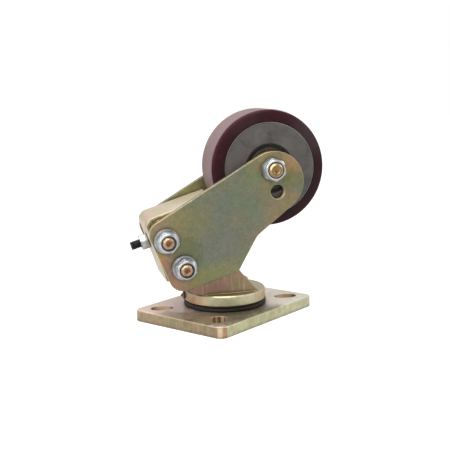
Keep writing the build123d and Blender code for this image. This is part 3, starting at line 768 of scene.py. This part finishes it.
def black_oxide():
    mat = Shader("black_oxide")
    colour = mat.ramp(mat.noise(scale=300.0, detail=4.0),
                      [(0.3, (0.012, 0.013, 0.015)), (0.7, (0.03, 0.032, 0.036))])
    colour = mat.tint(colour, (0.16, 0.16, 0.17), mat.edge_mask(radius=0.0004), amount=0.5)
    return mat.finish({
        'Base Color': colour,
        'Metallic': 0.55,
        'Roughness': 0.38,
        'Normal': mat.bump(mat.noise(scale=2400.0, detail=3.0))})


def rubber():
    """Dusty black rubber with dirt in the groove between the seal's lips."""
    mat = Shader("seal_rubber")
    colour = mat.ramp(mat.noise(scale=180.0, detail=4.0),
                      [(0.3, (0.006, 0.005, 0.004)), (0.7, (0.013, 0.010, 0.008))])
    dust = mat.fade(mat.noise(scale=90.0, detail=5.0, rough=0.65), start=0.55, end=0.75)
    colour = mat.tint(colour, srgb(120, 110, 96), dust, amount=0.05)
    z = mat.split(mat.place)[2]
    groove = mat.mul(mat.fade(z, start=0.01215, end=0.0125),
                     mat.fade(z, start=0.0132, end=0.0129))
    colour = mat.tint(colour, srgb(112, 94, 74), groove, amount=0.5)
    return mat.finish({
        'Base Color': colour,
        'Roughness': mat.vary(0.42, mat.noise(scale=120.0), amount=0.2),
        'Normal': mat.bump(mat.noise(scale=1800.0, detail=3.0), strength=0.2),
        'Specular IOR Level': 0.28})


def nylon():
    mat = Shader("nylon_ring")
    colour = mat.ramp(mat.noise(scale=300.0, detail=3.0),
                      [(0.3, (0.03, 0.032, 0.036)), (0.7, (0.055, 0.058, 0.066))])
    return mat.finish({
        'Base Color': colour,
        'Roughness': 0.42,
        'Subsurface Weight': 0.08,
        'Subsurface Radius': (0.001, 0.001, 0.001),
        'Normal': mat.bump(mat.noise(scale=1500.0, detail=2.0), strength=0.1)})


def bronze():
    mat = Shader("bearing_bronze")
    colour = mat.ramp(mat.noise(scale=200.0, detail=4.0),
                      [(0.3, srgb(170, 132, 66)), (0.7, srgb(206, 168, 92))])
    return mat.finish({
        'Base Color': colour,
        'Metallic': 0.95,
        'Roughness': 0.3,
        'Normal': mat.bump(mat.noise(scale=1800.0, detail=3.0))})


def hub_material():
    """Turned cast iron: concentric tool marks, a painted highlight on the rim's +X side with
    painted shade on its far side, and painted shade darkening the centre round the bore.
    """
    mat = Shader("hub_cast_iron")
    x, _, z = mat.split(mat.place)
    dx, dz = mat.from_axis(x, z, AXLE)
    radius = mat.hypot(dx, dz)
    angle = mat.calc('ARCTAN2', dz, dx)
    light_turn = 0.35                           # radians from the bright side to +X
    drift = mat.mul(mat.noise(scale=60.0, detail=3.0), 0.9 * MM)
    marks = mat.wave(mat.add(radius, drift), period=0.00052)
    broad_marks = mat.wave(radius, period=0.0031)
    colour = mat.ramp(mat.noise(scale=90.0, detail=5.0, rough=0.65, distort=0.6),
                      [(0.25, srgb(88, 84, 82)), (0.5, srgb(104, 100, 98)),
                       (0.75, srgb(118, 113, 110))])
    pale = mat.noise(scale=34.0, detail=4.0, rough=0.6, distort=1.0, offset=(2.0, 1.0, 0.3))
    colour = mat.tint(colour, srgb(132, 128, 126), mat.fade(pale, start=0.5, end=0.68),
                      amount=0.22)
    arcs = mat.noise(scale=30.0, detail=4.0, rough=0.7, distort=1.4, offset=(0.4, 7.0, 2.0))
    colour = mat.tint(colour, srgb(62, 58, 57), mat.fade(arcs, start=0.52, end=0.66),
                      amount=0.30)
    colour = mat.tint(colour, srgb(180, 176, 172), mat.fade(marks, start=0.2, end=1.0),
                      amount=0.10)
    # the rim is painted bright on the +X side as a painted highlight, and dark on the far side as
    # painted shade
    lit = mat.fade(mat.calc('COSINE', mat.add(angle, light_turn)),
                   start=-0.25, end=0.6, at_start=0.12, at_end=0.62)
    rim = mat.mul(mat.fade(radius, start=0.0386, end=0.0390), lit)
    colour = mat.tint(colour, srgb(176, 172, 168), rim)
    shaded = mat.fade(mat.calc('COSINE', mat.add(angle, light_turn)), start=-0.1, end=-0.5)
    lee_shade = mat.mul(mat.fade(radius, start=0.0382, end=0.0386), shaded)
    colour = mat.tint(colour, srgb(52, 44, 44), lee_shade, amount=0.8)
    # painted shade in the recess round the bore and shield
    centre_shade = mat.fade(radius, start=0.0206, end=0.0222, at_start=0.92, at_end=0.0)
    colour = mat.tint(colour, srgb(30, 27, 24), centre_shade)

    mark_share, broad_share, grain_share = 0.25, 0.12, 0.9
    grain = mat.noise(scale=1300.0, detail=3.0, rough=0.6)
    height = mat.add(mat.mul(marks, mark_share),
                     mat.add(mat.mul(broad_marks, broad_share), mat.mul(grain, grain_share)))

    # the brushed highlight runs round the axle
    centre = TURN @ Vector((AXLE[0], 0.0, AXLE[1])) * MM
    axis = TURN.to_3x3() @ Vector((0.0, 1.0, 0.0))
    spoke = mat.vector('SUBTRACT', mat.row_place(), tuple(centre))
    around = mat.vector('CROSS_PRODUCT', tuple(axis), spoke)
    to_world = mat.node('VectorTransform')
    to_world.vector_type = 'VECTOR'
    to_world.convert_from, to_world.convert_to = 'OBJECT', 'WORLD'
    mat.put(to_world.inputs[0], mat.vector('NORMALIZE', around))
    return mat.finish({
        'Base Color': colour,
        'Metallic': 0.62,
        'Roughness': mat.vary(0.34, mat.noise(scale=150.0, detail=4.0), amount=0.16),
        'Normal': mat.bump(height, strength=0.16, distance=0.00012),
        'Anisotropic': 0.7,
        'Tangent': to_world.outputs[0]})


def tyre_material():
    """Dark red polyurethane, lighter on the outer flank, with a matt ground tread painted pale
    pink: partly its ground finish, partly a painted reflection of the bright light above.
    """
    mat = Shader("tyre_polyurethane")
    x, y, z = mat.split(mat.place)
    radius = mat.hypot(*mat.from_axis(x, z, AXLE))
    colour = mat.ramp(mat.noise(scale=40.0, detail=4.0, rough=0.6, distort=0.8),
                      [(0.3, (0.014, 0.003, 0.005)), (0.5, (0.020, 0.0045, 0.007)),
                       (0.72, (0.030, 0.006, 0.009))])
    outer = mat.fade(radius, start=0.0405, end=0.0500)
    colour = mat.tint(colour, (0.052, 0.009, 0.015), outer, amount=0.5)
    tread = mat.fade(radius, start=0.0492, end=0.0498)
    coarse_share, fine_share = 0.35, 0.65
    ground = mat.add(
        mat.mul(mat.noise(scale=60.0, detail=4.0, rough=0.6), coarse_share),
        mat.mul(mat.noise(scale=700.0, detail=5.0, rough=0.7), fine_share))
    # the tread's pale pink is partly the ground finish and partly a painted reflection of the
    # bright light above
    tread_colour = mat.ramp(ground, [(0.3, (0.150, 0.090, 0.094)), (0.7, (0.200, 0.134, 0.135))])
    colour = mat.tint(colour, tread_colour, tread)
    dust = mat.noise(scale=110.0, detail=6.0, rough=0.7, distort=0.3)
    colour = mat.tint(colour, srgb(170, 150, 146), mat.fade(dust, start=0.56, end=0.76),
                      amount=0.04)
    scuffs = mat.noise(scale=26.0, detail=3.0, rough=0.6, stretch=(1.0, 4.0, 1.0))
    scuff_amount = 0.14
    colour = mat.tint(colour, srgb(90, 66, 70), mat.mul(mat.fade(scuffs, start=0.5, end=0.7),
                                                        mat.mul(tread, scuff_amount)))
    rough = mat.vary(0.26, mat.noise(scale=160.0, detail=4.0), amount=0.14)
    marks = mat.wave(y, period=0.0007)
    grain_share, mark_share = 0.6, 0.3
    height = mat.add(
        mat.mul(mat.noise(scale=1000.0, detail=4.0, rough=0.65), grain_share),
        mat.mul(mat.mul(marks, tread), mark_share))
    return mat.finish({
        'Base Color': colour,
        'Roughness': mat.vary(rough, tread, amount=0.22),
        'Normal': mat.bump(height, distance=0.00012),
        'Subsurface Weight': 0.03,
        'Subsurface Radius': (0.002, 0.0006, 0.0006),
        'Specular IOR Level': mat.vary(0.13, tread, amount=0.37)})


bolt_gold = bolt_material()
greased_steel = steel("greased_steel", dark=(30, 28, 26), light=(52, 48, 44),
                      rough=0.35, scale=200.0, metal=0.8)
clear_zinc = steel("clear_zinc", dark=(168, 172, 174), light=(208, 211, 212),
                   rough=0.24, scale=160.0, metal=0.85)
ground_steel = steel("ground_steel", dark=(120, 122, 126), light=(190, 192, 196),
                     rough=0.16, scale=400.0, metal=1.0)
spring_steel = steel("spring_steel", dark=(34, 35, 38), light=(60, 62, 66),
                     rough=0.36, scale=200.0, metal=0.8)
pressed_steel = steel("pressed_steel", dark=(110, 108, 104), light=(160, 158, 150),
                      rough=0.32, scale=300.0, metal=0.9)
screw_black = black_oxide()
seal_rubber = rubber()
ring_nylon = nylon()
bush_bronze = bronze()
hub_iron = hub_material()
tyre_red = tyre_material()
nipple_zinc = steel("nipple_zinc", dark=(92, 66, 48), light=(132, 98, 70),
                    rough=0.3, scale=300.0, metal=0.85)

# ------------------------------------------------------------------ CAD pieces
NODE_MATERIALS = {
    "mounting_plate": plate_zinc, "king_bolt": disc_zinc, "king_nut": disc_zinc,
    "upper_race_ring": disc_zinc, "lower_race_balls": ground_steel,
    "upper_race_balls": ground_steel, "swivel_disc": disc_zinc, "swivel_seal": seal_rubber,
    "near_cheek": cheek_zinc, "far_cheek": cheek_zinc, "housing_cover": cover_zinc,
    "housing_end_plate": cheek_zinc, "pivot_bushes": bush_bronze, "jam_nut": clear_zinc,
    "grease_nipple": nipple_zinc, "spring": spring_steel, "near_arm": near_arm_zinc,
    "far_arm": far_arm_zinc, "pivot_bolt": bolt_gold, "thrust_bolt": bolt_gold,
    "axle_bolt": bolt_gold, "pivot_nut": clear_zinc, "thrust_nut": clear_zinc,
    "axle_nut": clear_zinc, "nut_nylon_rings": ring_nylon, "bolt_washers": clear_zinc,
    "pivot_sleeve": ground_steel, "thrust_sleeve": ground_steel, "axle_sleeve": ground_steel,
    "bearing_spacer": clear_zinc, "dust_shields": shield_zinc_painted_shade,
    "bearing_inner_rings": ground_steel, "bearing_outer_rings": greased_steel,
    "bearing_balls": ground_steel, "bearing_cages": pressed_steel, "spring_seat": clear_zinc,
    "adjusting_screw": screw_black, "wheel_hub": hub_iron, "tyre": tyre_red,
}
EDGE_WIDTHS = {
    "mounting_plate": 0.4, "near_arm": 0.6, "far_arm": 0.6, "near_cheek": 0.3,
    "far_cheek": 0.3, "housing_cover": 0.3, "swivel_disc": 0.25, "housing_end_plate": 0.3,
}


def paint_node(name, material):
    ob = NODES[name]
    for slot in ob.material_slots:
        slot.material = material
    if not ob.material_slots:
        ob.data.materials.append(material)


def soften(name, width):
    """Small real bevels on a CAD node's sharp edges, by modifiers only."""
    ob = NODES[name]
    weld = ob.modifiers.new("weld", 'WELD')
    weld.merge_threshold = 1e-6
    flats = ob.modifiers.new("flats", 'DECIMATE')
    flats.decimate_type = 'DISSOLVE'
    flats.angle_limit = math.radians(0.4)
    edges = ob.modifiers.new("edges", 'BEVEL')
    edges.width = width * MM
    edges.segments = 2
    edges.limit_method = 'ANGLE'
    edges.angle_limit = math.radians(35.0)
    edges.harden_normals = False
    edges.use_clamp_overlap = True
    ob.modifiers.new("normals", 'WEIGHTED_NORMAL')


for name, material in NODE_MATERIALS.items():
    paint_node(name, material)
for name, width in EDGE_WIDTHS.items():
    soften(name, width)


def lay(ob, material, body, replaces=None):
    """Paints a detailed piece, ties it to its moving body and hides the CAD node it replaces."""
    ob.data.materials.append(material)
    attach(ob, body)
    if replaces:
        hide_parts(replaces)


# ------------------------------------------------------------------ bolts, nuts, washers
# radius, pitch, flats: thread and hexagon; head, nut: heights; tip: reach towards -Y;
# point: width of the turned point
SMALL_BOLT = dict(radius=5.0, pitch=1.5, flats=17.0, head=6.4, nut=7.6,
                  washer=WASHER, tip=47.0, point=1.1)
AXLE_BOLT = dict(radius=6.0, pitch=1.75, flats=18.0, head=7.5, nut=9.4,
                 washer=0.0, tip=47.2, point=1.4)
# name, place, sizes, turn of the head and of the nut in degrees
JOINTS = (("pivot", PIVOT, SMALL_BOLT, 10, 12),
          ("thrust", THRUST, SMALL_BOLT, 25, 20),
          ("axle", AXLE, AXLE_BOLT, 5, 10))


def real_bolt(node, place, size, turn):
    flats, head = size["flats"], size["head"]
    seat = ARM_FACE + size["washer"]
    rod = thread_rod("rod", size["radius"], size["pitch"], start=-seat + 0.02, plain_end=22.0,
                     end=size["tip"], matrix=axis_y(*place, flip=True), point=size["point"],
                     dimple=0.8)
    dished_top = [(flats * 0.34, head), (flats * 0.30, head - 0.22), (flats * 0.12, head - 0.3)]
    hexagon = hex_piece("head", flats, head, axis_y(*place, seat), turn=turn,
                        chamfer_base=False, collar=dished_top)
    lay(joined("real_" + node, [rod, hexagon]), bolt_gold, "rocker", node)


def real_nut(node, place, size, turn):
    """Nut with a rounded collar above the hexagon, recessed inside for the nylon ring."""
    r, half, height = size["radius"], size["flats"] / 2, size["nut"]
    collar = [(half - 0.25, height + 0.05), (half - 0.35, height + 0.5),
              (half - 0.40, height + 1.7), (half - 0.75, height + 2.4),
              (half - 1.35, height + 2.8), (half - 2.0, height + 2.9),
              (r + 2.0, height + 2.8), (r + 1.75, height + 2.5), (r + 1.75, height + 0.6),
              (r + 0.35, height + 0.6), (r + 0.1, height + 0.2)]
    matrix = axis_y(*place, -(ARM_FACE + size["washer"]), flip=True)
    ob = hex_piece("real_" + node, size["flats"], height, matrix, hole=r + 0.1, turn=turn,
                   collar=collar)
    lay(ob, clear_zinc, "rocker", node)


def real_washers():
    """Washers with rounded outer edges, outside both arms on the two small bolts."""
    profile = [(5.25, 0.35), (5.6, 0.0), (10.3, 0.0), (10.5, 0.15), (10.5, WASHER - 0.55),
               (10.35, WASHER - 0.2), (10.0, WASHER), (5.6, WASHER), (5.25, WASHER - 0.35)]
    washers = []
    for place in (PIVOT, THRUST):
        for near in (True, False):
            matrix = axis_y(*place, -ARM_FACE if near else ARM_FACE, flip=near)
            washers.append(lathe("washer", profile, matrix, segs=96))
    lay(joined("real_washers", washers), clear_zinc, "rocker", "bolt_washers")


for joint, place, size, head_turn, nut_turn in JOINTS:
    real_bolt(joint + "_bolt", place, size, head_turn)
for joint, place, size, head_turn, nut_turn in JOINTS:
    real_nut(joint + "_nut", place, size, nut_turn)
real_washers()

# adjusting screw and its nut
screw = thread_rod("real_adjusting_screw", 4.0, 1.25, start=13.6, plain_end=13.7, end=34.4,
                   matrix=axis_box(0.0, flip=True), point=0.7, socket=4.0)
lay(screw, screw_black, "adjusting_screw", "adjusting_screw")
jam_nut = hex_piece("real_jam_nut", 13.0, 7.16, axis_box(-18.63, flip=True), hole=4.1, turn=8)
lay(jam_nut, clear_zinc, "swivel_head", "jam_nut")

# ------------------------------------------------------------------ spring
BOX_END = 44.0                                  # x' of the end plate's outer face
END_PLATE = 4.0                                 # its thickness
SPRING_GAP = 0.05
SPRING_START = 4.65                             # x' just past the seat
SPRING_END = BOX_END - END_PLATE - SPRING_GAP
SPRING_LENGTH = SPRING_END - SPRING_START
WIRE_R = 2.5
COIL_R = 13.5                                   # to the wire's centre
TURNS = 5.0
SPRING_STEPS = 260


def coil_rise(turn):
    """Rise at a turn counted from an end: slow over the closed coil, then steady."""
    closed = 0.75
    if turn < closed:
        return 0.25 * turn * turn / closed
    return 0.25 * closed + 0.5 * (turn - closed)


def coil_point(share):
    turn = share * TURNS
    angle = 2 * math.pi * TURNS * share
    whole = 2 * coil_rise(TURNS / 2)
    rise = coil_rise(turn) if turn <= TURNS / 2 else whole - coil_rise(TURNS - turn)
    z = WIRE_R * 0.55 + rise / whole * (SPRING_LENGTH - WIRE_R * 1.1)
    return (COIL_R * math.cos(angle), COIL_R * math.sin(angle), z)


def real_spring():
    """Coil spring between its seat and the end plate."""
    path = [coil_point(i / SPRING_STEPS) for i in range(SPRING_STEPS + 1)]
    ob = tube_path("real_spring", path, WIRE_R, 20, Matrix.Identity(4))
    matrix = axis_box(SPRING_START)
    for v in ob.data.vertices:
        p = v.co / MM
        p.z = min(max(p.z, 0.0), SPRING_LENGTH)     # ground ends
        v.co = (matrix @ p) * MM
    lay(ob, spring_steel, "swivel_head", "spring")
    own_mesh(ob)


real_spring()

# ------------------------------------------------------------------ seal and welds
# (r, z) of the two-lipped seal under the disc: rounded lips with a groove between them
SEAL_PROFILE = [
    (33.55, 11.8), (34.4, 10.55), (34.75, 10.2), (35.6, 10.16), (36.2, 10.3), (36.5, 10.65),
    (36.58, 11.1), (36.5, 11.6), (36.25, 11.95), (35.85, 12.2), (35.55, 12.45), (35.45, 12.7),
    (35.55, 12.95), (35.85, 13.2), (36.25, 13.42), (36.5, 13.75), (36.58, 14.15), (36.5, 14.5),
    (36.2, 14.72), (35.6, 14.79), (33.55, 14.79),
]
lay(lathe("real_swivel_seal", SEAL_PROFILE, TURN, segs=192),
    seal_rubber, "swivel_head", "swivel_seal")


def bead(start, end, radius, phase):
    """Straight weld bead with overlapping ripples and thin ends, in the arm frame."""
    spacing, ripple_length = 0.35, 1.5
    start, end = Vector(start), Vector(end)
    count = max(2, int((end - start).length / spacing))
    path = [start.lerp(end, i / count) for i in range(count)] + [end]

    def ripple(i):
        along = i * spacing
        swell = (0.86 + 0.16 * abs(math.sin(math.pi * along / ripple_length + phase))
                 + 0.06 * math.sin(along * 0.9 + phase * 3))
        from_end = min(i, count - i) / 4.0
        return swell * (0.35 + 0.65 * min(1.0, from_end))
    return tube_path("bead", path, radius, 14, TURN, ripple)


def on_box(along, across, y):
    x, z = box_pt(along, across)
    return (x, y, z)


beads = []
for side in (-1, 1):
    cheek, web = 25.9 * side, 20.9 * side       # y of the beads on the housing
    beads += [
        # along the foot of the housing, on the disc
        bead((-23.5, 26.0 * side, 24.0), (23.3, 26.0 * side, 24.0), 1.15, 0.3 * side),
        bead((-27.0, web, 24.1), (25.0, web, 24.1), 1.5, 1.0 * side),
        # along the housing's z', -x' and +x' edges
        bead(on_box(-9.5, 44.0, cheek), on_box(43.0, 44.0, cheek), 0.75, 2.0 * side),
        bead(on_box(-14.75, 38.0, cheek), on_box(-13.6, -7.0, cheek), 0.75, 0.7 * side),
        bead(on_box(BOX_END, 8.5, web), on_box(BOX_END, 43.0, web), 1.1, 1.7 * side)]
lay(joined("yoke_welds", beads), weld_zinc, "swivel_head")


# ------------------------------------------------------------------ lights
def area_light(name, place, aim_height, size, power, colour=(1, 1, 1)):
    """Square light aimed at the castor's middle; place is in the arm frame, metres."""
    light = bpy.data.lights.new(name, 'AREA')
    light.energy = power
    light.color = colour
    light.shape = 'SQUARE'
    light.size = size
    ob = new_object(name, light)
    location = TURN @ Vector(place)
    ob.location = location
    aim = TURN @ Vector((0, 0, aim_height)) - location
    ob.rotation_euler = aim.to_track_quat('-Z', 'Y').to_euler()
    ob.visible_camera = False


area_light("key_top", (-0.25, -0.15, 0.95), aim_height=0.08, size=0.9, power=9.0,
           colour=(1.0, 0.985, 0.96))
area_light("left_soft", (-0.95, -0.25, 0.55), aim_height=0.09, size=0.7, power=6.0,
           colour=(1.0, 0.98, 0.97))
area_light("right_soft", (0.9, -0.35, 0.5), aim_height=0.09, size=0.6, power=2.4,
           colour=(0.97, 0.985, 1.0))
area_light("front_fill", (-0.2, -1.3, 0.35), aim_height=0.09, size=0.5, power=1.2)


# ------------------------------------------------------------------ floor
def build_floor():
    """White floor that glows, more strongly to the camera than to the castor."""
    half, z = 4.0, -0.0003                      # metres
    mesh = bpy.data.meshes.new("floor")
    mesh.from_pydata([(-half, -half, z), (half, -half, z), (half, half, z), (-half, half, z)],
                     [], [(0, 1, 2, 3)])
    floor = new_object("floor", mesh)
    material = bpy.data.materials.new("floor_white")
    material.use_nodes = True
    nodes, link = material.node_tree.nodes, material.node_tree.links.new
    nodes.clear()
    output = nodes.new('ShaderNodeOutputMaterial')
    blend = nodes.new('ShaderNodeMixShader')
    diffuse = nodes.new('ShaderNodeBsdfDiffuse')
    glow = nodes.new('ShaderNodeEmission')
    light_path = nodes.new('ShaderNodeLightPath')
    strength = nodes.new('ShaderNodeMapRange')
    diffuse.inputs['Color'].default_value = (0.90, 0.90, 0.90, 1)
    glow.inputs['Color'].default_value = (1, 1, 1, 1)
    blend.inputs[0].default_value = 0.66        # share of glow
    strength.inputs['To Min'].default_value = 0.55
    strength.inputs['To Max'].default_value = 1.42
    link(light_path.outputs['Is Camera Ray'], strength.inputs[0])
    link(strength.outputs[0], glow.inputs['Strength'])
    link(diffuse.outputs[0], blend.inputs[1])
    link(glow.outputs[0], blend.inputs[2])
    link(blend.outputs[0], output.inputs[0])
    mesh.materials.append(material)


build_floor()


# ------------------------------------------------------------------ world
def build_world():
    """Grey room, lighter overhead and darker around the camera; plain white when seen."""
    world = bpy.data.worlds.new("studio")
    bpy.context.scene.world = world
    world.use_nodes = True
    nodes, link = world.node_tree.nodes, world.node_tree.links.new
    nodes.clear()
    output = nodes.new('ShaderNodeOutputWorld')
    room = nodes.new('ShaderNodeBackground')
    backdrop = nodes.new('ShaderNodeBackground')
    choose = nodes.new('ShaderNodeMixShader')
    light_path = nodes.new('ShaderNodeLightPath')
    direction = nodes.new('ShaderNodeTexCoord').outputs['Generated']

    split = nodes.new('ShaderNodeSeparateXYZ')
    link(direction, split.inputs[0])
    height = nodes.new('ShaderNodeMapRange')
    height.inputs['From Min'].default_value = -1.0
    height.inputs['From Max'].default_value = 1.0
    link(split.outputs[2], height.inputs[0])
    ramp = nodes.new('ShaderNodeValToRGB')
    elements = ramp.color_ramp.elements
    elements[0].position, elements[0].color = 0.0, (0.30, 0.30, 0.30, 1)
    elements[1].position, elements[1].color = 1.0, (1.0, 1.0, 1.0, 1)
    elements.new(0.5).color = (0.42, 0.42, 0.43, 1)
    link(height.outputs[0], ramp.inputs[0])
    link(ramp.outputs[0], room.inputs['Color'])

    toward_camera = nodes.new('ShaderNodeVectorMath')
    toward_camera.operation = 'DOT_PRODUCT'
    link(direction, toward_camera.inputs[0])
    toward_camera.inputs[1].default_value = tuple(TURN.to_3x3() @ Vector((-0.10, -0.97, 0.20)))
    dimming = nodes.new('ShaderNodeMapRange')
    dimming.inputs['From Min'].default_value = 0.1
    dimming.inputs['From Max'].default_value = 0.95
    dimming.inputs['To Min'].default_value = 1.0
    dimming.inputs['To Max'].default_value = 0.35
    link(toward_camera.outputs['Value'], dimming.inputs[0])
    link(dimming.outputs[0], room.inputs['Strength'])

    backdrop.inputs['Color'].default_value = (1, 1, 1, 1)
    backdrop.inputs['Strength'].default_value = 1.0
    link(light_path.outputs['Is Camera Ray'], choose.inputs[0])
    link(room.outputs[0], choose.inputs[1])
    link(backdrop.outputs[0], choose.inputs[2])
    link(choose.outputs[0], output.inputs[0])


build_world()
view = bpy.context.scene.view_settings
view.view_transform = 'Standard'
view.look = 'None'
view.exposure = 0.0


# ------------------------------------------------------------------ camera
def build_camera():
    """Camera on the near side, set by its bearing from a target in the arm frame."""
    swing, rise, roll = 0.2235610, 0.1656106, -0.0261634    # radians
    distance = 738.689
    target = Vector((1.878, 0.0, 79.588))
    back = Vector((-math.sin(swing) * math.cos(rise), -math.cos(swing) * math.cos(rise),
                   math.sin(rise)))
    right = (-back).cross(Vector((0, 0, 1))).normalized()
    up = right.cross(-back)
    rolled_right = math.cos(roll) * right + math.sin(roll) * up
    rolled_up = -math.sin(roll) * right + math.cos(roll) * up
    rotation = Matrix((rolled_right, rolled_up, back)).transposed().to_4x4()
    camera = bpy.data.cameras.new("camera")
    camera.sensor_width = 36.0
    camera.lens = 66.9648
    camera.clip_start, camera.clip_end = 0.01, 20.0
    ob = bpy.data.objects.new("camera", camera)
    place = Matrix.Translation((target + distance * back) * MM)
    ob.matrix_world = TURN @ place @ rotation
    bpy.context.scene.collection.objects.link(ob)
    bpy.context.scene.camera = ob


build_camera()
